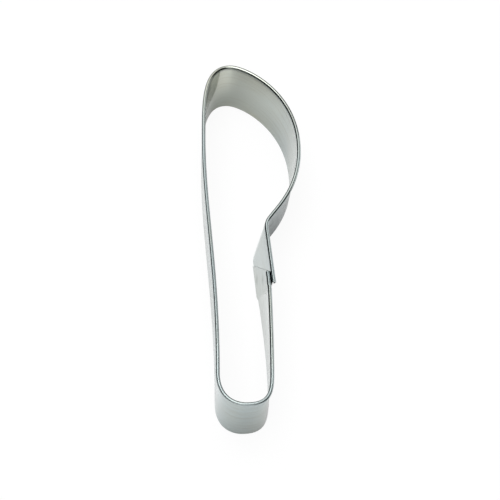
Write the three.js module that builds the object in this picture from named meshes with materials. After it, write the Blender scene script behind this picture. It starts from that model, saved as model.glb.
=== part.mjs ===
// A knife-shaped cookie cutter: one strip of tinplate with a rolled top edge, bent to the outline of a table
// knife and closed where its two ends lap, with two spot welds between them.
// Millimetres. The cutting edge lies on z = 0, +Z is up, +Y points to the tip of the blade, and the origin is
// the middle of the outline.
import * as THREE from "three";

// Overall sizes, measured over the rolled edge
const CUTTER_LENGTH = 134.35;
const BLADE_WIDTH = 35.05;
const BLADE_LENGTH = 64.9; // from the tip to the notch
const HANDLE_WIDTH = 19.5;
const HANDLE_INSET = 5; // the handle's back stands this far in from the blade's back

// Strip and its rolled edge
const STRIP_HEIGHT = 25.4;
const SHEET = 0.3;
const ROLL_BORE = 0.76;
const LIP_GAP = 0.2; // between the roll's free lip and the wall

// Where the outline runs level or upright, measured from the tip or from the handle's end
const BELLY_FROM_TIP = 34.6;
const BACK_FROM_TIP = 30.1;
const TIP_FROM_BACK = 10.5;
const HANDLE_BACK_FROM_END = 12.1;
const HANDLE_FRONT_FROM_END = 15.1;

// How far each of those points pulls the curve along, on either side of it
const NOTCH_PULL = 7;
const BELLY_PULL_LOW = 16;
const BELLY_PULL_HIGH = 24;
const TIP_PULL_FRONT = 5.5;
const TIP_PULL_BACK = 10.25;
const BACK_PULL_HIGH = 14;
const BACK_PULL_LOW = 27.5;
const HANDLE_PULL_HIGH = 40;
const HANDLE_PULL_BACK = 10.5;
const END_PULL_BACK = 2;
const END_PULL_FRONT = 9.2;
const HANDLE_PULL_FRONT = 9;

// Notch between handle and blade, and the flat lap wall below it
const NOTCH_PINCH = 1.45; // the notch stands this far in from the handle's front
const NOTCH_LEG = 2.2; // length of the bend on either side of the corner
const NOTCH_OPENING = THREE.MathUtils.degToRad(31); // blade's turn from the Y axis where it leaves the notch
const LAP_TILT = THREE.MathUtils.degToRad(6.2); // lap wall's turn from the Y axis
const FRONT_BEND_FROM_NOTCH = 39.5; // middle of the handle front's long bend

// The cutting edge doesn't stand straight under the rolled edge all the way round
const EDGE_FLARE = 0.15; // outwards at tip, back and handle end
const EDGE_OUT_HANDLE = 1.0; // outwards at the handle's front
const EDGE_IN_BELLY = 0.7; // inwards at the blade's belly
const EDGE_IN_NOTCH = 2.35; // inwards at the notch and the lap

// Lap: the tail runs down outside from the notch and the tongue runs up inside it. Both ends are cut on a slant, so
// each has its distance below the notch at the cutting edge and at the rim
const TAIL_AT_EDGE = 15.3;
const TAIL_AT_RIM = 23.4;
const TONGUE_AT_EDGE = 3.5;
const TONGUE_AT_RIM = 19.1;
const LAP_GAP = 0.12; // between the two walls, where the welds sit
const RIM_CLEARANCE = 0.45; // between the tongue's roll and the tail's wall
const WAIST_HEIGHT = 20.5; // up to here the tongue lies along the tail, above it leans away for its roll
const JOGGLE_CLEARANCE = 0.3; // from the tail's end to the step in the inner wall
const JOGGLE_LENGTH = 2.2;

// Spot welds
const WELD_DIAMETER = 3;
const WELD_FIT = 0.01; // clearance at each face of a weld
const LOWER_WELD_HEIGHT = 4;
const UPPER_WELD_HEIGHT = 13;

// Facets
const ROLL_STEPS = 8;
const WELD_SIDES = 24;

const BORE_RADIUS = ROLL_BORE / 2;
const ROLL_RADIUS = BORE_RADIUS + SHEET;
const RIM_HEIGHT = STRIP_HEIGHT - ROLL_RADIUS; // height of the roll's centre
const TIP_Y = CUTTER_LENGTH / 2 - ROLL_RADIUS;
const BACK_X = ROLL_RADIUS - BLADE_WIDTH / 2;
const BELLY_X = BLADE_WIDTH / 2 - ROLL_RADIUS;

const LAP_ALONG = new THREE.Vector2(-Math.sin(LAP_TILT), Math.cos(LAP_TILT));
const LAP_OUT = outwardOf(LAP_ALONG);
const BLADE_ALONG = new THREE.Vector2(Math.sin(NOTCH_OPENING), Math.cos(NOTCH_OPENING));
const LEVELS = [0, WAIST_HEIGHT / RIM_HEIGHT, 1];

const tinplate = new THREE.MeshStandardMaterial({ color: 0xc4c8ca, roughness: 0.32, metalness: 1 });
const weldMetal = new THREE.MeshStandardMaterial({ color: 0x9a9c9e, roughness: 0.5, metalness: 1 });

// The strip runs counter-clockwise, seen from above, so outwards is on its right.
function outwardOf(along) {
  return new THREE.Vector2(along.y, -along.x);
}

function at(x, y) {
  return new THREE.Vector2(x, y);
}

// The corner of the notch at a share of the wall's height: 0 at the cutting edge, 1 at the roll's centre.
function notchCorner(level) {
  const handleFront = BACK_X + HANDLE_INSET + HANDLE_WIDTH - 2 * ROLL_RADIUS;
  return at(handleFront - NOTCH_PINCH - EDGE_IN_NOTCH * (1 - level), TIP_Y + ROLL_RADIUS - BLADE_LENGTH);
}

// A point of the lap, so far below the notch and so far inside the tail.
function lapPoint(level, below, inside) {
  return notchCorner(level).addScaledVector(LAP_ALONG, -below).addScaledVector(LAP_OUT, -inside);
}

// The tail's end slants up to the waist and stands upright above it.
function tailBelow(level) {
  return THREE.MathUtils.lerp(TAIL_AT_EDGE, TAIL_AT_RIM, Math.min(level / LEVELS[1], 1));
}

function tongueBelow(level) {
  return THREE.MathUtils.lerp(TONGUE_AT_EDGE, TONGUE_AT_RIM, level);
}

// How far the tongue lies inside the tail: sheet on sheet up to the waist, then leaning in to clear its own roll.
function tongueInset(level) {
  const against = SHEET + LAP_GAP;
  const clearOfRoll = 2 * ROLL_RADIUS + RIM_CLEARANCE;
  return THREE.MathUtils.mapLinear(Math.max(level, LEVELS[1]), LEVELS[1], 1, against, clearOfRoll);
}

// The strip's line in plan at one level, as curves from the tail's end round to the tongue's end, each with its
// number of steps.
function outline(level) {
  const drop = 1 - level;
  const flare = EDGE_FLARE * drop;
  const handleBack = BACK_X + HANDLE_INSET - flare;
  const handleFront = BACK_X + HANDLE_INSET + HANDLE_WIDTH - 2 * ROLL_RADIUS + EDGE_OUT_HANDLE * drop;

  const notch = notchCorner(level);
  const tailEnd = lapPoint(level, tailBelow(level), 0);
  const bendStart = lapPoint(level, NOTCH_LEG, 0);
  const bendEnd = notch.clone().addScaledVector(BLADE_ALONG, NOTCH_LEG);
  const bendPull = notch.clone().addScaledVector(BLADE_ALONG, NOTCH_PULL);
  const belly = at(BELLY_X - EDGE_IN_BELLY * drop, TIP_Y + ROLL_RADIUS - BELLY_FROM_TIP);
  const tip = at(BACK_X - ROLL_RADIUS + TIP_FROM_BACK, TIP_Y + flare);
  const back = at(BACK_X - flare, TIP_Y + ROLL_RADIUS - BACK_FROM_TIP);
  const heelBack = at(handleBack, HANDLE_BACK_FROM_END - TIP_Y - ROLL_RADIUS);
  const heelFront = at(handleFront, HANDLE_FRONT_FROM_END - TIP_Y - ROLL_RADIUS);
  const end = at(BACK_X + HANDLE_INSET + HANDLE_WIDTH / 2 - ROLL_RADIUS, -TIP_Y - flare);

  const joggleEnd = tailBelow(level) + JOGGLE_CLEARANCE;
  const frontBend = at(handleFront, notch.y - FRONT_BEND_FROM_NOTCH);
  const stepOut = lapPoint(level, joggleEnd + JOGGLE_LENGTH, tongueInset(1) * level);
  const stepIn = lapPoint(level, joggleEnd, tongueInset(level));
  const stepOutAlong = stepOut.clone().sub(frontBend).normalize();
  const stepOutPull = stepOut.clone().addScaledVector(stepOutAlong, JOGGLE_LENGTH / 2);
  const stepInPull = stepIn.clone().addScaledVector(LAP_ALONG, -JOGGLE_LENGTH / 2);
  const tongueEnd = lapPoint(level, tongueBelow(level), tongueInset(level));

  const pulled = (from, x, y) => at(from.x + x, from.y + y);
  return [
    [new THREE.LineCurve(tailEnd, bendStart), 5],
    [new THREE.QuadraticBezierCurve(bendStart, notch, bendEnd), 5],
    [new THREE.CubicBezierCurve(bendEnd, bendPull, pulled(belly, 0, -BELLY_PULL_LOW), belly), 10],
    [
      new THREE.CubicBezierCurve(belly, pulled(belly, 0, BELLY_PULL_HIGH), pulled(tip, TIP_PULL_FRONT, 0), tip),
      16,
    ],
    [new THREE.CubicBezierCurve(tip, pulled(tip, -TIP_PULL_BACK, 0), pulled(back, 0, BACK_PULL_HIGH), back), 14],
    [
      new THREE.CubicBezierCurve(
        back,
        pulled(back, 0, -BACK_PULL_LOW),
        pulled(heelBack, 0, HANDLE_PULL_HIGH),
        heelBack,
      ),
      12,
    ],
    [
      new THREE.CubicBezierCurve(
        heelBack,
        pulled(heelBack, 0, -HANDLE_PULL_BACK),
        pulled(end, -END_PULL_BACK, 0),
        end,
      ),
      10,
    ],
    [
      new THREE.CubicBezierCurve(
        end,
        pulled(end, END_PULL_FRONT, 0),
        pulled(heelFront, 0, -HANDLE_PULL_FRONT),
        heelFront,
      ),
      10,
    ],
    [new THREE.QuadraticBezierCurve(heelFront, frontBend, stepOut), 8],
    [new THREE.CubicBezierCurve(stepOut, stepOutPull, stepInPull, stepIn), 5],
    [new THREE.LineCurve(stepIn, tongueEnd), 5],
  ];
}

// Points and outward directions along the strip at one level.
function stations(level) {
  const curves = outline(level);
  const found = curves.flatMap(([curve, steps]) =>
    Array.from({ length: steps }, (_, i) => ({
      point: curve.getPoint(i / steps),
      outward: outwardOf(curve.getTangent(i / steps)),
    })),
  );
  const last = curves.at(-1)[0];
  found.push({ point: last.getPoint(1), outward: outwardOf(last.getTangent(1)) });
  return found;
}

// The strip's cross-section, a wall that ends in an outward roll: each point has the level whose line it follows,
// its distance outwards from that line, and its height.
function stripSection() {
  const lipAngle = -Math.PI / 2 - Math.asin((BORE_RADIUS - LIP_GAP) / ROLL_RADIUS);
  const roll = (radius) =>
    Array.from({ length: ROLL_STEPS + 1 }, (_, i) => {
      const angle = THREE.MathUtils.lerp(Math.PI, lipAngle, i / ROLL_STEPS);
      return { line: 2, out: radius * Math.cos(angle), z: RIM_HEIGHT + radius * Math.sin(angle) };
    });
  return [
    { line: 0, out: -ROLL_RADIUS, z: 0 },
    { line: 1, out: -ROLL_RADIUS, z: WAIST_HEIGHT },
    ...roll(ROLL_RADIUS),
    ...roll(BORE_RADIUS).reverse(),
    { line: 1, out: -BORE_RADIUS, z: WAIST_HEIGHT },
    { line: 0, out: -BORE_RADIUS, z: 0 },
  ];
}

// Carries the section along the strip and closes both cut ends.
function stripGeometry() {
  const section = stripSection();
  const lines = LEVELS.map(stations);
  const positions = [];
  lines[0].forEach((_, s) => {
    for (const corner of section) {
      const { point, outward } = lines[corner.line][s];
      positions.push(point.x + corner.out * outward.x, point.y + corner.out * outward.y, corner.z);
    }
  });

  const count = section.length;
  const indices = [];
  for (let s = 0; s < lines[0].length - 1; s++) {
    for (let i = 0; i < count; i++) {
      const a = s * count + i;
      const b = s * count + ((i + 1) % count);
      indices.push(a, b, a + count, b, b + count, a + count);
    }
  }
  const lastRing = (lines[0].length - 1) * count;
  const flat = section.map((corner) => at(corner.out, corner.z));
  for (const [a, b, c] of THREE.ShapeUtils.triangulateShape(flat, [])) {
    indices.push(a, b, c);
    indices.push(lastRing + a, lastRing + c, lastRing + b);
  }

  const geometry = new THREE.BufferGeometry();
  geometry.setAttribute("position", new THREE.Float32BufferAttribute(positions, 3));
  geometry.setIndex(indices);
  geometry.computeVertexNormals();
  return geometry;
}

// A flat disc of weld metal between tail and tongue, in the middle of the lap at its height.
function spotWeld(name, height) {
  const level = height / RIM_HEIGHT;
  const along = new THREE.Vector3(LAP_ALONG.x, LAP_ALONG.y, 0);
  const up = new THREE.Vector3(EDGE_IN_NOTCH, 0, RIM_HEIGHT);
  const through = along.cross(up).normalize();
  const gap = LAP_GAP * (LAP_OUT.x * through.x + LAP_OUT.y * through.y);
  const geometry = new THREE.CylinderGeometry(
    WELD_DIAMETER / 2,
    WELD_DIAMETER / 2,
    gap - 2 * WELD_FIT,
    WELD_SIDES,
  );

  const below = (tailBelow(level) + tongueBelow(level)) / 2;
  const seat = lapPoint(level, below, ROLL_RADIUS + LAP_GAP / 2);
  const weld = new THREE.Mesh(geometry, weldMetal);
  weld.name = name;
  weld.position.set(seat.x, seat.y, height);
  weld.quaternion.setFromUnitVectors(new THREE.Vector3(0, 1, 0), through);
  return weld;
}

const strip = new THREE.Mesh(stripGeometry(), tinplate);
strip.name = "cutter_strip";

const cutter = new THREE.Group();
cutter.add(strip);
cutter.add(spotWeld("weld_lower", LOWER_WELD_HEIGHT));
cutter.add(spotWeld("weld_upper", UPPER_WELD_HEIGHT));

export default cutter;
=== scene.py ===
"""Knife-shaped cookie cutter of tinplate: the strip with its rolled edge, its welds and a white studio."""

import math

import bpy
import numpy as np
from mathutils import Matrix, Vector


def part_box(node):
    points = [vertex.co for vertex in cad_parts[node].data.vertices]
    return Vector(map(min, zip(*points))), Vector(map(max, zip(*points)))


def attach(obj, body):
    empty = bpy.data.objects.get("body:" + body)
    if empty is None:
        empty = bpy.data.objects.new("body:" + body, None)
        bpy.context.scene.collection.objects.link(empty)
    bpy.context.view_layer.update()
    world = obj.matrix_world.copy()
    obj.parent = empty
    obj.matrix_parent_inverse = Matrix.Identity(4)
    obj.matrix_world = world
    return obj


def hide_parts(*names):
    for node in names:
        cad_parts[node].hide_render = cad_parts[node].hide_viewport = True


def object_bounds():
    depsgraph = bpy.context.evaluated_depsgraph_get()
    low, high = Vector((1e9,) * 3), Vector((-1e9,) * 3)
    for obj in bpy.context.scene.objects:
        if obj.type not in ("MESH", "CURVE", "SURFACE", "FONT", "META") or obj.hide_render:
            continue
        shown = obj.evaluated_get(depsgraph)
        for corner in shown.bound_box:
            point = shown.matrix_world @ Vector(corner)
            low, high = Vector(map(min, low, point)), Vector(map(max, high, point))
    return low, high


bl_info = {
    "name": "Knife Cookie Cutter",
    "version": (1, 0, 0),
    "blender": (4, 5, 0),
    "location": "3D View > Sidebar > Cutter",
    "description": "Builds a tinplate cookie cutter in the outline of a table knife",
    "category": "Mesh",
}

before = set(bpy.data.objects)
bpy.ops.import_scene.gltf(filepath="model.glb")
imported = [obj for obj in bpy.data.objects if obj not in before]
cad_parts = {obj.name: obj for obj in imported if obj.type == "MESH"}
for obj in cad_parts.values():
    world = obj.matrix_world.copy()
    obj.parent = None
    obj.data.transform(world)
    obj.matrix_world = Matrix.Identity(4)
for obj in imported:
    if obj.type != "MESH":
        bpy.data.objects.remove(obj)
CAD_LOW, CAD_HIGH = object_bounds()

# The outline's curves, in metres: how far each point pulls the curve along on either side of it.
NOTCH_PULL = 0.007
BELLY_PULL_LOW, BELLY_PULL_HIGH = 0.016, 0.024
TIP_PULL_FRONT, TIP_PULL_BACK = 0.0055, 0.01025
BACK_PULL_HIGH, BACK_PULL_LOW = 0.014, 0.0275
HANDLE_PULL_HIGH, HANDLE_PULL_BACK = 0.040, 0.0105
END_PULL_BACK, END_PULL_FRONT = 0.002, 0.0092
HANDLE_PULL_FRONT = 0.009

# Where the outline runs level or upright, from the tip or from the handle's end.
BELLY_FROM_TIP = 0.0346
BACK_FROM_TIP = 0.0301
TIP_FROM_BACK = 0.0105
HANDLE_BACK_FROM_END = 0.0121
HANDLE_FRONT_FROM_END = 0.0151

# Notch and lap wall.
NOTCH_PINCH = 0.00145
NOTCH_LEG = 0.0022
NOTCH_OPENING = math.radians(31)
LAP_TILT = math.radians(6.2)
FRONT_BEND_FROM_NOTCH = 0.0395

# Lean of the cutting edge against the rolled edge.
EDGE_FLARE = 0.00015
EDGE_OUT_HANDLE = 0.001
EDGE_IN_BELLY = 0.0007
EDGE_IN_NOTCH = 0.00235

# Lap of tail and tongue.
TAIL_AT_EDGE, TAIL_AT_RIM = 0.0153, 0.0234
TONGUE_AT_EDGE, TONGUE_AT_RIM = 0.0035, 0.0191
RIM_CLEARANCE = 0.00045
WAIST_HEIGHT = 0.0205
JOGGLE_CLEARANCE = 0.0003
JOGGLE_LENGTH = 0.0022
LAP_CLOSING = 0.0001

LAP_ALONG = np.array((-math.sin(LAP_TILT), math.cos(LAP_TILT)))
LAP_OUT = np.array((LAP_ALONG[1], -LAP_ALONG[0]))
BLADE_ALONG = np.array((math.sin(NOTCH_OPENING), math.cos(NOTCH_OPENING)))

# Steps along each stretch of the strip, up the wall, through the band of painted shade below the roll and
# round it.
STRETCH_STEPS = (48, 18, 56, 84, 64, 60, 44, 44, 48, 14, 34)
WALL_STEPS, BAND_STEPS, ROLL_STEPS = 38, 8, 18
BAND_SHARE = 0.05  # of the wall's height
SHARP_ANGLE = math.radians(40)
UV_PER_METRE = 10

# A weld's dent reaches walls that stand within this many sheets of it.
DENT_REACH = 4

# Patch of painted shade, a little dulled too, on the outer face of the blade's foot: its middle station, its
# reach in stations, and how strong it is.
FOOT_STATION, FOOT_STATIONS = 78, 36
FOOT_SHADE = 1.2

# Towards the handle's end the flanks get brighter as their painted shade falls, down to a least share, and
# the roll's top is worn rougher and darkened with painted shade.
END_SHADE_FROM, END_SHADE_EASE, END_SHADE_LEAST = 0.001, 0.014, 0.2
WEAR_SHADE_REACH, WEAR_SHADE_EASE = 0.024, 0.020

# Densities of the rolled sheet's noises.
LINE_DENSITY, STREAK_DENSITY, CLOUD_DENSITY = 420.0, 95.0, 32.0

# Ranges in the tinplate's look: from and to in metres, and the two values there where they aren't 0 and 1.
# Along Y, where the tip's walls turn warmer and, with painted light, lighter.
TIP_WARM_LIGHT = (0.045, 0.064)
# Up Z, where the painted light on the tip's walls grows.
TIP_LIGHT_RISE = (0.003, 0.019)
# Up Z at the roll, where the tip's painted light turns to painted shade.
TIP_ROLL_SHADE = (0.0232, 0.0246, 1.0, -0.6)
HEAT_REACH = (0.0012, 0.0028, 1.0, 0.0)
# Up Z: painted shade low on the wall near the floor, painted light towards the rim.
HEIGHT_SHADE = (0.0, 0.0254, 0.92, 1.09)

# Tinplate's tints against its own colour, and how much of each effect goes into warmth, shade and roughness.
COOL_TINT, WARM_TINT = (0.93, 1.0, 1.02), (1.10, 1.05, 0.92)
WARMTH_SHARES = {"cloud": 0.4, "tip": 0.6, "streaks": 0.2, "dull_and_shade": -0.4}
SHADE_SHARES = {"streaks": -0.12, "tip_light_and_shade": 0.18, "wear_and_shade": -0.06, "lines": 0.06, "dull_and_shade": -0.3, "heat": -0.08}
ROUGHNESS_SHARES = {"lines": 0.06, "streaks": 0.05, "dull_and_shade": 0.06, "heat": 0.08, "wear_and_shade": 0.3}
TIN_ROUGHNESS = 0.11
STREAK_RELIEF = 0.7  # against the fine lines

# Plain metals: how far the grain takes colour and roughness to either side.
GRAIN_COLOUR, GRAIN_ROUGHNESS = 0.2, 0.1

# Softboxes: name, watts, width, depth, azimuth and elevation in degrees. All stand at one distance.
SOFTBOXES = (
    ("overhead_softbox", 6.8, 0.9, 0.7, 180, 81),
    ("back_softbox", 3.0, 1.1, 0.8, 90, 61),
    ("left_back_softbox", 1.4, 0.7, 0.7, 120, 38),
    ("left_front_softbox", 1.3, 0.7, 0.7, 225, 64),
    ("front_softbox", 1.9, 0.7, 0.7, 270, 40),
    ("right_panel", 1.6, 0.6, 0.6, 25, 16),
    ("back_panel", 0.9, 1.0, 0.5, 85, 14),
    ("front_panel", 0.7, 1.0, 0.5, 252, 14),
)
LIGHT_DISTANCE = 1.1

# Floor: half its side, its drop below the cutting edge, its glow, and the share of white the camera sees.
FLOOR_HALF, FLOOR_DROP = 1.5, 0.00005
FLOOR_GLOW, FLOOR_WHITE = 0.24, 0.9
ROOM_STRENGTH = 0.02
WHITE = (1, 1, 1, 1)

# Camera: its place, its turn about Z, its tilt from straight down and its roll, in radians, and its lens.
CAMERA_PLACE = (-0.042655, -0.340329, 0.623445)
CAMERA_TURN, CAMERA_TILT, CAMERA_ROLL = 0.12558932, 0.50939305, 0.13474106
CAMERA_LENS, CAMERA_SENSOR = 144.17, 36


class CutterSizes(bpy.types.PropertyGroup):
    """Sizes of the cutter, over its rolled edge."""

    length: bpy.props.FloatProperty(
        name="Length",
        description="Handle end to blade tip",
        default=0.13435,
        min=0.08,
        max=0.25,
        precision=4,
        unit="LENGTH",
    )
    blade_width: bpy.props.FloatProperty(
        name="Blade Width",
        description="Back of the blade to its belly",
        default=0.03505,
        min=0.02,
        max=0.08,
        precision=4,
        unit="LENGTH",
    )
    blade_length: bpy.props.FloatProperty(
        name="Blade Length",
        description="Notch to tip",
        default=0.0649,
        min=0.04,
        max=0.12,
        precision=4,
        unit="LENGTH",
    )
    handle_width: bpy.props.FloatProperty(
        name="Handle Width",
        description="Back of the handle to its front",
        default=0.0195,
        min=0.012,
        max=0.05,
        precision=4,
        unit="LENGTH",
    )
    handle_inset: bpy.props.FloatProperty(
        name="Handle Inset",
        description="Step in from the blade's back to the handle's back",
        default=0.005,
        min=0.0,
        max=0.02,
        precision=4,
        unit="LENGTH",
    )
    strip_height: bpy.props.FloatProperty(
        name="Strip Height",
        description="Cutting edge to the top of the rolled edge",
        default=0.0254,
        min=0.012,
        max=0.05,
        precision=4,
        unit="LENGTH",
    )
    sheet: bpy.props.FloatProperty(
        name="Sheet",
        description="Thickness of the tinplate",
        default=0.0003,
        min=0.0002,
        max=0.0006,
        precision=5,
        unit="LENGTH",
    )
    roll_bore: bpy.props.FloatProperty(
        name="Roll Bore",
        description="Hollow inside the rolled edge",
        default=0.00076,
        min=0.0004,
        max=0.002,
        precision=5,
        unit="LENGTH",
    )
    lip_gap: bpy.props.FloatProperty(
        name="Lip Gap",
        description="Gap between the roll's free lip and the wall",
        default=0.0002,
        min=0.00005,
        max=0.0005,
        precision=5,
        unit="LENGTH",
    )
    lap_gap: bpy.props.FloatProperty(
        name="Lap Gap",
        description="Gap between the two lapped walls",
        default=0.00012,
        min=0.00005,
        max=0.001,
        precision=5,
        unit="LENGTH",
    )
    weld_dent: bpy.props.FloatProperty(
        name="Weld Dent",
        description="Depth of the mark that a spot weld leaves in the sheet",
        default=0.0001,
        min=0.0,
        max=0.0003,
        precision=5,
        unit="LENGTH",
    )


class CutterFinish(bpy.types.PropertyGroup):
    """Colours of the metal and of the studio."""

    tin: bpy.props.FloatVectorProperty(
        name="Tin",
        description="Bright tin coat of the strip",
        default=(0.38, 0.405, 0.40),
        min=0.0,
        max=1.0,
        subtype="COLOR",
    )
    # Lifted far above the tin: painted light, so the sheared ends show no dark line.
    cut_steel: bpy.props.FloatVectorProperty(
        name="Cut Steel",
        description="Bare steel where the sheet was sheared",
        default=(0.74, 0.75, 0.75),
        min=0.0,
        max=1.0,
        subtype="COLOR",
    )
    weld: bpy.props.FloatVectorProperty(
        name="Weld",
        description="Dull metal of the spot welds",
        default=(0.34, 0.33, 0.32),
        min=0.0,
        max=1.0,
        subtype="COLOR",
    )
    floor: bpy.props.FloatVectorProperty(
        name="Floor",
        description="Pale studio floor",
        default=(0.9, 0.9, 0.9),
        min=0.0,
        max=1.0,
        subtype="COLOR",
    )
    light: bpy.props.FloatProperty(
        name="Light",
        description="Strength of all the softboxes together",
        default=1.0,
        min=0.0,
        max=10.0,
        subtype="FACTOR",
    )


def notch_corner(sizes, level):
    """Corner of the notch in plan at levels, which run from 0 at the edge to 1 at the roll's centre.

    It stands a fixed pinch in from the handle's front, and the lean at the notch takes it further in
    towards the edge.
    """
    radius = sizes.roll_bore / 2 + sizes.sheet
    front = sizes.handle_inset + sizes.handle_width - sizes.blade_width / 2 - radius
    x = front - NOTCH_PINCH - EDGE_IN_NOTCH * (1 - level)
    return plan_point(x, sizes.length / 2 - sizes.blade_length, level)


def plan_point(x, y, level):
    """A plan point at every level, x and y being single numbers or one number for each level."""
    return np.stack(np.broadcast_arrays(x + 0 * level, y + 0 * level), axis=-1)


def lap_point(sizes, level, below, inside):
    """A point of the lap: the notch corner, moved down along the lap wall and in across it."""
    below = np.asarray(below + 0 * level)[:, None]
    inside = np.asarray(inside + 0 * level)[:, None]
    return notch_corner(sizes, level) - below * LAP_ALONG - inside * LAP_OUT


def waist_level(sizes):
    """Level up to which the tongue lies along the tail: the waist's height over the roll centre's."""
    return WAIST_HEIGHT / (sizes.strip_height - sizes.roll_bore / 2 - sizes.sheet)


def tail_below(sizes, level):
    """How far below the notch the tail ends: linear from the edge to the waist, and upright above it."""
    return TAIL_AT_EDGE + (TAIL_AT_RIM - TAIL_AT_EDGE) * np.minimum(level / waist_level(sizes), 1)


def tongue_inset(sizes, level):
    """How far the tongue lies inside the tail: sheet and gap up to the waist, then more to clear its roll."""
    waist = waist_level(sizes)
    against = sizes.sheet + sizes.lap_gap
    clear = sizes.roll_bore + 2 * sizes.sheet + RIM_CLEARANCE
    share = np.clip((level - waist) / (1 - waist), 0, 1)
    return against + (clear - against) * share


def straight(start, end):
    """A straight stretch as a cubic: both inner control points at thirds."""
    return np.stack((start, start + (end - start) / 3, end - (end - start) / 3, end), axis=1)


def bent(start, corner, end):
    """A bend round a corner as a cubic: inner control points two thirds of the way to the corner."""
    return np.stack((start, start + (corner - start) * 2 / 3, end + (corner - end) * 2 / 3, end), axis=1)


def pulled(start, start_pull, end_pull, end):
    """A cubic that leaves start and reaches end along the two given pulls."""
    return np.stack((start, start + np.asarray(start_pull), end + np.asarray(end_pull), end), axis=1)


def strip_stretches(sizes, level):
    """Control points of the strip's line in plan, for each level and stretch.

    The line runs counter-clockwise: tail, notch bend, belly, tip, back, handle end, handle front, joggle,
    tongue. Every stretch is a cubic whose ends lie on the outline's upright or level points.
    """
    radius = sizes.roll_bore / 2 + sizes.sheet
    drop = 1 - level
    flare = EDGE_FLARE * drop
    half_length = sizes.length / 2
    left = -sizes.blade_width / 2
    handle_back = left + radius + sizes.handle_inset - flare
    handle_front = left + sizes.handle_inset + sizes.handle_width - radius + EDGE_OUT_HANDLE * drop
    handle_middle = left + sizes.handle_inset + sizes.handle_width / 2

    notch = notch_corner(sizes, level)
    tail_end = lap_point(sizes, level, tail_below(sizes, level), 0)
    bend_start = lap_point(sizes, level, NOTCH_LEG, 0)
    bend_end = notch + NOTCH_LEG * BLADE_ALONG
    belly = plan_point(-left - radius - EDGE_IN_BELLY * drop, half_length - BELLY_FROM_TIP, level)
    tip = plan_point(left + TIP_FROM_BACK, half_length - radius + flare, level)
    back = plan_point(left + radius - flare, half_length - BACK_FROM_TIP, level)
    heel_back = plan_point(handle_back, HANDLE_BACK_FROM_END - half_length, level)
    end = plan_point(handle_middle, radius - half_length - flare, level)
    heel_front = plan_point(handle_front, HANDLE_FRONT_FROM_END - half_length, level)

    joggle = tail_below(sizes, level) + JOGGLE_CLEARANCE
    rim_inset = sizes.roll_bore + 2 * sizes.sheet + RIM_CLEARANCE
    front_bend = plan_point(handle_front, notch[:, 1] - FRONT_BEND_FROM_NOTCH, level)
    step_out = lap_point(sizes, level, joggle + JOGGLE_LENGTH, rim_inset * level)
    step_in = lap_point(sizes, level, joggle, tongue_inset(sizes, level))
    step_along = step_out - front_bend
    step_along /= np.linalg.norm(step_along, axis=1, keepdims=True)
    tongue_below = TONGUE_AT_EDGE + (TONGUE_AT_RIM - TONGUE_AT_EDGE) * level
    closed = tongue_inset(sizes, level) - LAP_CLOSING * (sizes.lap_gap > LAP_CLOSING)
    tongue_end = lap_point(sizes, level, tongue_below, closed)

    return np.stack(
        (
            straight(tail_end, bend_start),
            bent(bend_start, notch, bend_end),
            pulled(bend_end, (NOTCH_PULL - NOTCH_LEG) * BLADE_ALONG, (0, -BELLY_PULL_LOW), belly),
            pulled(belly, (0, BELLY_PULL_HIGH), (TIP_PULL_FRONT, 0), tip),
            pulled(tip, (-TIP_PULL_BACK, 0), (0, BACK_PULL_HIGH), back),
            pulled(back, (0, -BACK_PULL_LOW), (0, HANDLE_PULL_HIGH), heel_back),
            pulled(heel_back, (0, -HANDLE_PULL_BACK), (-END_PULL_BACK, 0), end),
            pulled(end, (END_PULL_FRONT, 0), (0, -HANDLE_PULL_FRONT), heel_front),
            bent(heel_front, front_bend, step_out),
            pulled(step_out, step_along * JOGGLE_LENGTH / 2, -LAP_ALONG * JOGGLE_LENGTH / 2, step_in),
            straight(step_in, tongue_end),
        ),
        axis=1,
    )


def strip_lines(sizes, level):
    """Points and outward directions along the strip, as arrays of level by station.

    Each station is a stretch and a share of it, and its point is the cubic's Bernstein sum at that share.
    Outward is the curve's direction turned a quarter to the right.
    """
    stretch = np.append(np.repeat(np.arange(len(STRETCH_STEPS)), STRETCH_STEPS), len(STRETCH_STEPS) - 1)
    t = np.append(np.concatenate([np.arange(n) / n for n in STRETCH_STEPS]), 1.0)
    weights = np.stack(((1 - t) ** 3, 3 * t * (1 - t) ** 2, 3 * t * t * (1 - t), t**3), axis=1)
    slopes = np.stack((-((1 - t) ** 2), (1 - t) * (1 - 3 * t), t * (2 - 3 * t), t * t), axis=1)
    controls = strip_stretches(sizes, level)[:, stretch]
    points = np.einsum("sk,lskd->lsd", weights, controls)
    along = np.einsum("sk,lskd->lsd", slopes, controls)
    along /= np.linalg.norm(along, axis=2, keepdims=True)
    return points, np.stack((along[..., 1], -along[..., 0]), axis=-1)


def weld_places():
    """Centres of the two spot welds, taken from the CAD welds' boxes, and their radius."""
    boxes = [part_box(name) for name in ("weld_lower", "weld_upper")]
    centres = np.array([[(low[k] + high[k]) / 2 for k in range(3)] for low, high in boxes])
    return centres, (boxes[0][1][2] - boxes[0][0][2]) / 2


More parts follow.
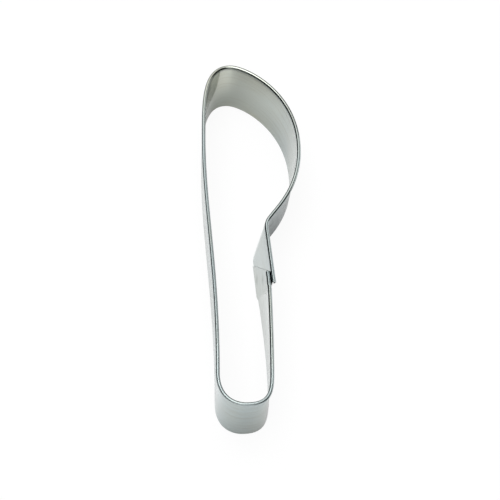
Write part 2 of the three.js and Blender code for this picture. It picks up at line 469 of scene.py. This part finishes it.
def strip_grid(sizes):
    """The strip as a grid of stations by section points, and the state of its coat at each.

    The section goes up the inner face, round the outside of the roll to its lip, back round the bore and
    down the outer face. Walls follow the line of their own level and the roll follows the rim's line.
    """
    bore = sizes.roll_bore / 2
    radius = bore + sizes.sheet
    rim_height = sizes.strip_height - radius
    level = wall_levels()
    lip = -math.pi / 2 - math.asin((bore - sizes.lip_gap) / radius)
    turn = np.linspace(math.pi, lip, ROLL_STEPS + 1)

    top = len(level) - 1
    line = np.concatenate((np.arange(top + 1), np.full(2 * ROLL_STEPS, top), np.arange(top, -1, -1)))
    out = np.concatenate(
        (
            np.full(top + 1, -radius),
            radius * np.cos(turn[1:]),
            bore * np.cos(turn[:0:-1]),
            np.full(top + 1, -bore),
        )
    )
    z = np.concatenate(
        (
            level * rim_height,
            rim_height + radius * np.sin(turn[1:]),
            rim_height + bore * np.sin(turn[:0:-1]),
            level[::-1] * rim_height,
        )
    )
    points, outward = strip_lines(sizes, level)
    plan = points[line] + out[:, None, None] * outward[line]
    height = np.broadcast_to(z[:, None, None], plan.shape[:2] + (1,))
    grid = np.concatenate((plan, height), axis=2).transpose(1, 0, 2)
    return grid, strip_coat(grid, level, turn)


def wall_levels():
    """Levels up the wall: even steps, then finer ones through the band of painted shade below the roll."""
    below = np.linspace(0, 1 - BAND_SHARE, WALL_STEPS)[:-1]
    return np.append(below, np.linspace(1 - BAND_SHARE, 1, BAND_STEPS + 1))


def section_dullness_and_shade(level, turn):
    """How much the coat is dulled and darkened with painted shade at each section point, from 0 on the open
    wall to 1 on the roll's flanks.

    On the wall it is the square of the share of the way up the band below the roll, painted shade under the
    roll. On the upper half of the roll it is the squared cosine of the turn, and its lower half and bore are
    dulled and in painted shade throughout.
    """
    # The band below the roll darkens towards it with painted shade, standing for the shadow under the roll.
    wall = np.clip(1 - (1 - level) / BAND_SHARE, 0, 1) ** 2
    # Painted shade on the roll's flanks, its lower half and its bore.
    roll = np.where(turn[1:] > 0, np.cos(turn[1:]) ** 2, 1)
    return np.concatenate((wall, roll, np.ones(ROLL_STEPS), wall[::-1]))


def strip_coat(grid, level, turn):
    """State of the tin coat at each grid point: how much it is dulled and darkened with painted shade, and
    how far hands have worn it, with painted shade on the worn roll.

    Dullness and its painted shade are the section's own, less towards the handle's end, or those of the patch
    of painted shade on the outer face of the blade's foot where they are more. Wear is the sine of the turn
    on the roll's upper half, and fades away from the handle's end, where hands push; it roughens the roll's
    top and darkens it with painted shade.
    """
    section = section_dullness_and_shade(level, turn)
    from_end = grid[:, 0, 1] - CAD_LOW[1]
    kept = np.clip((from_end - END_SHADE_FROM) / END_SHADE_EASE, END_SHADE_LEAST, 1)
    # The foot's patch is painted shade on the outer wall beside the notch.
    foot = np.clip(1 - (np.arange(len(grid)) - FOOT_STATION) ** 2 / FOOT_STATIONS**2, 0, 1)
    outer = np.arange(len(section)) >= len(section) - len(level)
    dullness_and_shade = np.maximum(kept[:, None] * section, FOOT_SHADE * foot[:, None] * outer)
    roll = np.zeros(len(section))
    roll[len(level) : len(level) + ROLL_STEPS] = np.clip(np.sin(turn[1:]), 0, 1)
    # Painted shade, with roughness, on the roll's top near the handle's end.
    hand = np.clip((WEAR_SHADE_REACH - from_end) / WEAR_SHADE_EASE, 0, 1)
    return {"dullness_and_shade": dullness_and_shade, "wear_and_shade": hand[:, None] * roll}


def dent_welds(sizes, grid):
    """How far the weld marks move each grid point: a round dent in the outer tail and the inner tongue.

    The dent's depth falls off as one minus the squared share of the radius, squared, and it points towards
    the weld.
    """
    centres, radius = weld_places()
    away = grid[None] - centres[:, None, None]
    through = np.array((LAP_OUT[0], LAP_OUT[1], 0.0))
    side = away @ through
    flat = np.linalg.norm(away - side[..., None] * through, axis=3)
    near = np.abs(side) < DENT_REACH * sizes.sheet
    share = np.clip(1 - (flat / radius) ** 2, 0, 1) ** 2 * near
    return -(np.sign(side) * share * sizes.weld_dent).sum(axis=0)[..., None] * through


def strip_faces(stations, ring):
    """Faces of a grid closed round its section, with both cut ends, and a mark for each sheared face.

    Side faces join neighbouring stations. An end is a ladder of faces between each section point and its
    mirror across the sheet. The cutting edge, the roll's lip and both ends are sheared.
    """
    s, i = np.meshgrid(np.arange(stations - 1), np.arange(ring), indexing="ij")
    j = (i + 1) % ring
    sides = np.stack((s * ring + i, s * ring + j, (s + 1) * ring + j, (s + 1) * ring + i), axis=-1)
    sheared = ((i == ring - 1) | (i == ring // 2 - 1)).ravel()

    k = np.arange(ring // 2 - 1)
    first = np.stack((k, ring - 1 - k, ring - 2 - k, k + 1), axis=1)
    last = first[:, ::-1] + (stations - 1) * ring
    faces = np.concatenate((sides.reshape(-1, 4), first, last))
    return faces, np.concatenate((sheared, np.ones(2 * len(k), dtype=bool)))


def strip_uv(grid):
    """Lengths along the strip and along the section, in decimetres, for each grid point."""
    middle = grid[:, grid.shape[1] // 4]
    along = np.append(0, np.linalg.norm(np.diff(middle, axis=0), axis=1).cumsum())
    section = grid[grid.shape[0] // 2]
    across = np.append(0, np.linalg.norm(np.diff(section, axis=0), axis=1).cumsum())
    u, v = np.meshgrid(along, across, indexing="ij")
    return np.stack((u, v), axis=-1) * UV_PER_METRE


def mesh_object(name, points, faces, uv, coat, marks, materials):
    """An object at the origin from arrays of points, faces, UVs, the coat's states and material marks."""
    mesh = bpy.data.meshes.new(name)
    mesh.from_pydata(points, [], faces)
    layer = mesh.uv_layers.new(name="strip")
    layer.data.foreach_set("uv", uv[faces.ravel()].astype(np.float32).ravel())
    for key, values in coat.items():
        attribute = mesh.attributes.new(key, "FLOAT", "POINT")
        attribute.data.foreach_set("value", values.astype(np.float32).ravel())
    for material in materials:
        mesh.materials.append(material)
    mesh.polygons.foreach_set("material_index", marks.astype(np.int32))
    mesh.shade_smooth()
    mesh.set_sharp_from_angle(angle=SHARP_ANGLE)
    mesh.validate()
    obj = bpy.data.objects.new(name, mesh)
    bpy.context.collection.objects.link(obj)
    return obj


def node(tree, kind, place, **settings):
    """Adds a shader node at a place, with its settings and the values of its inputs."""
    made = tree.nodes.new(kind)
    made.location = place
    inputs = settings.pop("inputs", {})
    for key, value in settings.items():
        setattr(made, key, value)
    for key, value in inputs.items():
        made.inputs[key].default_value = value
    return made


def maths(tree, place, operation, *values):
    """Adds a Math node on sockets or numbers and gives its output."""
    made = node(tree, "ShaderNodeMath", place, operation=operation)
    for socket, value in zip(made.inputs, values):
        if isinstance(value, bpy.types.NodeSocket):
            tree.links.new(value, socket)
        else:
            socket.default_value = value
    return made.outputs["Value"]


def ranged(tree, place, value, low, high, to_low=0.0, to_high=1.0):
    """Maps a socket's range from low to high smoothly onto two other values and gives the output."""
    made = node(tree, "ShaderNodeMapRange", place, interpolation_type="SMOOTHSTEP")
    made.inputs["From Min"].default_value = low
    made.inputs["From Max"].default_value = high
    made.inputs["To Min"].default_value = to_low
    made.inputs["To Max"].default_value = to_high
    tree.links.new(value, made.inputs["Value"])
    return made.outputs["Result"]


def rolled_sheet_group():
    """Node group of rolled sheet: fine rolling lines, broader streaks that come and go, and a cloudy coat.

    Lines and streaks are noise drawn out along the strip's UV. The cloud is broad noise on the object, and
    the streaks show where it is thick.
    """
    group = bpy.data.node_groups.new("Rolled Sheet", "ShaderNodeTree")
    densities = {"Line": LINE_DENSITY, "Streak": STREAK_DENSITY, "Cloud": CLOUD_DENSITY}
    for name, default in densities.items():
        socket = group.interface.new_socket(name + " Density", in_out="INPUT", socket_type="NodeSocketFloat")
        socket.default_value = default
    for name in ("Lines", "Streaks", "Cloud"):
        group.interface.new_socket(name, in_out="OUTPUT", socket_type="NodeSocketFloat")
    start = node(group, "NodeGroupInput", (-1000, 0))
    end = node(group, "NodeGroupOutput", (600, 0))
    where = node(group, "ShaderNodeTexCoord", (-1000, -250))
    link = group.links.new
    layers = (
        ("Line", "UV", (0.02, 1.0, 1.0), 3.0),
        ("Streak", "UV", (0.05, 1.0, 1.0), 2.0),
        ("Cloud", "Object", (1.0, 1.0, 1.0), 3.0),
    )
    noises = {}
    for row, (name, source, scale, detail) in enumerate(layers):
        stretch = node(group, "ShaderNodeMapping", (-750, 300 - 300 * row), inputs={"Scale": scale})
        noise = node(group, "ShaderNodeTexNoise", (-500, 300 - 300 * row), inputs={"Detail": detail})
        link(where.outputs[source], stretch.inputs["Vector"])
        link(stretch.outputs["Vector"], noise.inputs["Vector"])
        link(start.outputs[name + " Density"], noise.inputs["Scale"])
        noises[name] = noise.outputs["Fac"]
    patch = ranged(group, (0, -150), noises["Cloud"], 0.3, 0.52)
    streak = ranged(group, (0, 150), noises["Streak"], 0.5, 0.66)
    link(noises["Line"], end.inputs["Lines"])
    link(maths(group, (300, 0), "MULTIPLY", streak, patch), end.inputs["Streaks"])
    link(noises["Cloud"], end.inputs["Cloud"])
    return group


def rolled_sheet(tree, place, lines=LINE_DENSITY, streaks=STREAK_DENSITY, cloud=CLOUD_DENSITY):
    """Places the rolled sheet group in a material with its own densities."""
    group = bpy.data.node_groups.get("Rolled Sheet") or rolled_sheet_group()
    sheet = node(tree, "ShaderNodeGroup", place, node_tree=group)
    sheet.inputs["Line Density"].default_value = lines
    sheet.inputs["Streak Density"].default_value = streaks
    sheet.inputs["Cloud Density"].default_value = cloud
    return sheet


def new_metal(name):
    """A new material whose shader is a bare metal."""
    material = bpy.data.materials.new(name)
    material.use_nodes = True
    shader = material.node_tree.nodes["Principled BSDF"]
    shader.location = (900, 0)
    shader.inputs["Metallic"].default_value = 1.0
    material.node_tree.nodes["Material Output"].location = (1200, 0)
    return material, material.node_tree, shader


def blended(tree, place, base, effects, shares):
    """Adds the named effects to a base value, each times its share, and gives the last output."""
    value = base
    for step, (name, share) in enumerate(shares.items()):
        value = maths(tree, (place[0] + 150 * step, place[1]), "MULTIPLY_ADD", effects[name], share, value)
    return value


def tinplate_material(colour, welds):
    """Bright tin coat whose warmth, shade and roughness are sums of effects, each times its share.

    Cloud, streaks and lines come from the rolled sheet group, and the coat's dulling and wearing, each with
    painted shade, from the mesh. The tip is a smooth step along the blade that warms the tint and lightens it
    with painted light; that painted light grows up the tip's wall and turns to painted shade on the roll.
    Heat falls off with the distance from the nearer weld. Shade also rises smoothly from the cutting edge to
    the
    rim: painted shade low on the wall by the floor, and painted light towards the rim.
    """
    material, tree, shader = new_metal("bright_tinplate")
    link = tree.links.new
    sheet = rolled_sheet(tree, (-1100, 0))
    where = node(tree, "ShaderNodeTexCoord", (-1100, -350))
    axes = node(tree, "ShaderNodeSeparateXYZ", (-850, -350))
    link(where.outputs["Object"], axes.inputs["Vector"])
    upright = axes.outputs["Z"]

    away = []
    for row, centre in enumerate(welds):
        gap = node(tree, "ShaderNodeVectorMath", (-850, -600 - 200 * row), operation="DISTANCE")
        gap.inputs[1].default_value = tuple(centre)
        link(where.outputs["Object"], gap.inputs[0])
        away.append(gap.outputs["Value"])
    nearer = maths(tree, (-600, -600), "MINIMUM", *away)
    # Warmer and, with painted light, lighter towards the tip.
    tip = ranged(tree, (-600, -350), axes.outputs["Y"], *TIP_WARM_LIGHT)
    # Painted light growing up the tip's walls, turning to painted shade on the tip's roll.
    tip_light_and_shade = maths(tree, (-350, 650), "MULTIPLY", tip, ranged(tree, (-600, 700), upright, *TIP_LIGHT_RISE))
    tip_light_and_shade = maths(tree, (-350, 800), "MULTIPLY", tip_light_and_shade, ranged(tree, (-600, 900), upright, *TIP_ROLL_SHADE))
    effects = {
        "cloud": ranged(tree, (-600, -100), sheet.outputs["Cloud"], 0.35, 0.65),
        "tip": tip,
        "tip_light_and_shade": tip_light_and_shade,
        "heat": ranged(tree, (-350, -600), nearer, *HEAT_REACH),
        "streaks": sheet.outputs["Streaks"],
        "lines": sheet.outputs["Lines"],
        # This attribute dulls the tin a little, and darkens and cools it with painted shade.
        "dull_and_shade": node(tree, "ShaderNodeAttribute", (-1100, 300), attribute_name="dullness_and_shade").outputs["Fac"],
        # This attribute roughens the roll's top near the handle's end and darkens it with painted shade.
        "wear_and_shade": node(tree, "ShaderNodeAttribute", (-1100, 500), attribute_name="wear_and_shade").outputs["Fac"],
    }

    tint = node(tree, "ShaderNodeMix", (300, 0), data_type="RGBA")
    for socket, share in (("A", COOL_TINT), ("B", WARM_TINT)):
        tint.inputs[socket].default_value = tuple(c * k for c, k in zip(colour, share)) + (1,)
    link(blended(tree, (-350, -150), 0.0, effects, WARMTH_SHARES), tint.inputs["Factor"])
    # Painted shade darkening the walls towards the cutting edge, and painted light towards the rim.
    height_shade = ranged(tree, (-600, 500), upright, *HEIGHT_SHADE)
    shaded = node(tree, "ShaderNodeVectorMath", (650, 300), operation="SCALE")
    link(tint.outputs["Result"], shaded.inputs[0])
    link(blended(tree, (-350, 500), height_shade, effects, SHADE_SHARES), shaded.inputs["Scale"])
    link(shaded.outputs["Vector"], shader.inputs["Base Color"])
    link(blended(tree, (-200, 200), TIN_ROUGHNESS, effects, ROUGHNESS_SHARES), shader.inputs["Roughness"])

    height = maths(tree, (300, -300), "MULTIPLY_ADD", effects["streaks"], STREAK_RELIEF, effects["lines"])
    relief = node(tree, "ShaderNodeBump", (600, -300), inputs={"Strength": 0.15, "Distance": 0.00002})
    link(height, relief.inputs["Height"])
    link(relief.outputs["Normal"], shader.inputs["Normal"])
    return material


def plain_metal(name, colour, roughness, grain, **densities):
    """A metal without a coat: colour, roughness and relief follow one output of the rolled sheet group."""
    material, tree, shader = new_metal(name)
    link = tree.links.new
    value = rolled_sheet(tree, (-600, 0), **densities).outputs[grain]
    tint = node(tree, "ShaderNodeMix", (300, 200), data_type="RGBA")
    tint.inputs["A"].default_value = tuple(c * (1 - GRAIN_COLOUR) for c in colour) + (1,)
    tint.inputs["B"].default_value = tuple(min(c * (1 + GRAIN_COLOUR), 1) for c in colour) + (1,)
    relief = node(tree, "ShaderNodeBump", (300, -300), inputs={"Strength": 0.3, "Distance": 0.00003})
    link(value, tint.inputs["Factor"])
    link(tint.outputs["Result"], shader.inputs["Base Color"])
    limits = (roughness - GRAIN_ROUGHNESS, roughness + GRAIN_ROUGHNESS)
    link(ranged(tree, (300, -50), value, 0.3, 0.7, *limits), shader.inputs["Roughness"])
    link(value, relief.inputs["Height"])
    link(relief.outputs["Normal"], shader.inputs["Normal"])
    return material


class CUTTER_OT_strip(bpy.types.Operator):
    """Build the tinplate strip with its rolled edge and lap"""

    bl_idname = "cutter.strip"
    bl_label = "Build Strip"

    def execute(self, context):
        sizes = context.scene.cutter_sizes
        finish = context.scene.cutter_finish
        grid, coat = strip_grid(sizes)
        faces, sheared = strip_faces(*grid.shape[:2])
        uv = strip_uv(grid).reshape(-1, 2)
        tin = tinplate_material(finish.tin, weld_places()[0])
        # The sheared steel's lifted colour is painted light that hides the dark line at the cut ends.
        cut = plain_metal("sheared_steel", finish.cut_steel, 0.4, "Lines", lines=900.0)
        points = (grid + dent_welds(sizes, grid)).reshape(-1, 3)
        strip = mesh_object("tinplate_strip", points, faces, uv, coat, sheared, (tin, cut))
        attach(strip, "root")
        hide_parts("cutter_strip")
        return {"FINISHED"}


class CUTTER_OT_welds(bpy.types.Operator):
    """Finish the two spot welds between the lapped walls"""

    bl_idname = "cutter.welds"
    bl_label = "Finish Welds"

    def execute(self, context):
        finish = context.scene.cutter_finish
        metal = plain_metal("weld_metal", finish.weld, 0.5, "Cloud", cloud=900.0)
        for name in ("weld_lower", "weld_upper"):
            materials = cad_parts[name].data.materials
            materials.clear()
            materials.append(metal)
        return {"FINISHED"}


def softbox(name, power, width, depth, azimuth, elevation):
    """Adds an area light that faces the origin from an azimuth, from +X to +Y, and an elevation."""
    data = bpy.data.lights.new(name, "AREA")
    data.energy = power
    data.shape = "RECTANGLE"
    data.size = width
    data.size_y = depth
    around, above = math.radians(azimuth), math.radians(elevation)
    place = Vector((math.cos(above) * math.cos(around), math.cos(above) * math.sin(around), math.sin(above)))
    light = bpy.data.objects.new(name, data)
    light.location = place * LIGHT_DISTANCE
    light.rotation_euler = (-place).to_track_quat("-Z", "Y").to_euler()
    bpy.context.collection.objects.link(light)


def show_to_camera(tree, share, real, plain, output):
    """Mixes a share of plain white into what the camera sees. Light and mirrors meet the real shader."""
    path = node(tree, "ShaderNodeLightPath", (-400, 300))
    mixed = node(tree, "ShaderNodeMixShader", (300, 300))
    seen = maths(tree, (-200, 300), "MULTIPLY", path.outputs["Is Camera Ray"], share)
    tree.links.new(seen, mixed.inputs["Fac"])
    tree.links.new(real, mixed.inputs[1])
    tree.links.new(plain, mixed.inputs[2])
    tree.links.new(mixed.outputs["Shader"], tree.nodes[output].inputs["Surface"])


def studio_floor(colour):
    """A square of matt white paper just below the cutting edge, with a little glow of its own."""
    corners = np.array(((-1, -1), (1, -1), (1, 1), (-1, 1))) * FLOOR_HALF
    points = np.column_stack((corners, np.full(4, -FLOOR_DROP)))
    mesh = bpy.data.meshes.new("studio_floor")
    mesh.from_pydata(points, [], [(0, 1, 2, 3)])
    floor = bpy.data.objects.new("studio_floor", mesh)
    bpy.context.collection.objects.link(floor)
    paper = bpy.data.materials.new("white_paper")
    paper.use_nodes = True
    tree = paper.node_tree
    shader = tree.nodes["Principled BSDF"]
    shader.inputs["Base Color"].default_value = tuple(colour) + (1,)
    shader.inputs["Roughness"].default_value = 0.9
    shader.inputs["Specular IOR Level"].default_value = 0.0
    shader.inputs["Emission Color"].default_value = WHITE
    shader.inputs["Emission Strength"].default_value = FLOOR_GLOW
    glow = node(tree, "ShaderNodeEmission", (-200, -300), inputs={"Color": WHITE})
    show_to_camera(tree, FLOOR_WHITE, shader.outputs["BSDF"], glow.outputs["Emission"], "Material Output")
    mesh.materials.append(paper)
    return floor


def studio_room():
    """A dim grey world for light and mirrors, which the camera itself sees as a white backdrop."""
    world = bpy.data.worlds.new("studio_room")
    world.use_nodes = True
    tree = world.node_tree
    room = tree.nodes["Background"]
    room.inputs["Color"].default_value = (0.5, 0.5, 0.5, 1)
    room.inputs["Strength"].default_value = ROOM_STRENGTH
    backdrop = node(tree, "ShaderNodeBackground", (-200, -200), inputs={"Color": WHITE})
    show_to_camera(tree, 1.0, room.outputs["Background"], backdrop.outputs["Background"], "World Output")
    return world


def studio_camera():
    """A camera that looks down past the handle's end, a little from the left, and is rolled."""
    data = bpy.data.cameras.new("camera")
    data.sensor_width = CAMERA_SENSOR
    data.lens = CAMERA_LENS
    data.clip_start = 0.02
    camera = bpy.data.objects.new("camera", data)
    camera.matrix_world = camera_matrix()
    bpy.context.collection.objects.link(camera)
    return camera


def camera_matrix():
    """The camera's place and turn: right and up are turned about Z, tilted, and rolled about the view."""
    cos_turn, sin_turn = math.cos(CAMERA_TURN), math.sin(CAMERA_TURN)
    cos_tilt, sin_tilt = math.cos(CAMERA_TILT), math.sin(CAMERA_TILT)
    cos_roll, sin_roll = math.cos(CAMERA_ROLL), math.sin(CAMERA_ROLL)
    right = np.array((cos_turn, -sin_turn, 0.0))
    up = np.array((sin_turn * cos_tilt, cos_turn * cos_tilt, sin_tilt))
    matrix = np.eye(4)
    matrix[:3, 0] = cos_roll * right + sin_roll * up
    matrix[:3, 1] = cos_roll * up - sin_roll * right
    matrix[:3, 2] = np.cross(right, up)
    matrix[:3, 3] = CAMERA_PLACE
    return Matrix(matrix.tolist())


class CUTTER_OT_stage(bpy.types.Operator):
    """Set up floor, light and camera"""

    bl_idname = "cutter.stage"
    bl_label = "Set Up Stage"

    def execute(self, context):
        finish = context.scene.cutter_finish
        floor = studio_floor(finish.floor)
        for name, power, *place in SOFTBOXES:
            softbox(name, power * finish.light, *place)
        context.scene.world = studio_room()
        context.scene.view_settings.view_transform = "Standard"
        context.scene.camera = studio_camera()
        return {"FINISHED"}


class CUTTER_PT_panel(bpy.types.Panel):
    """Sizes, finishes and steps of the cutter"""

    bl_idname = "CUTTER_PT_panel"
    bl_label = "Cookie Cutter"
    bl_space_type = "VIEW_3D"
    bl_region_type = "UI"
    bl_category = "Cutter"

    def draw(self, context):
        for settings in (context.scene.cutter_sizes, context.scene.cutter_finish):
            box = self.layout.box()
            for name in settings.bl_rna.properties.keys():
                if name not in ("rna_type", "name"):
                    box.prop(settings, name)
        for operator in (CUTTER_OT_strip, CUTTER_OT_welds, CUTTER_OT_stage):
            self.layout.operator(operator.bl_idname)


CLASSES = (CutterSizes, CutterFinish, CUTTER_OT_strip, CUTTER_OT_welds, CUTTER_OT_stage, CUTTER_PT_panel)


def register():
    for cls in CLASSES:
        bpy.utils.register_class(cls)
    bpy.types.Scene.cutter_sizes = bpy.props.PointerProperty(type=CutterSizes)
    bpy.types.Scene.cutter_finish = bpy.props.PointerProperty(type=CutterFinish)


def unregister():
    del bpy.types.Scene.cutter_finish
    del bpy.types.Scene.cutter_sizes
    for cls in reversed(CLASSES):
        bpy.utils.unregister_class(cls)


def main():
    register()
    bpy.ops.cutter.strip()
    bpy.ops.cutter.welds()
    bpy.ops.cutter.stage()


if __name__ == "__main__":
    main()
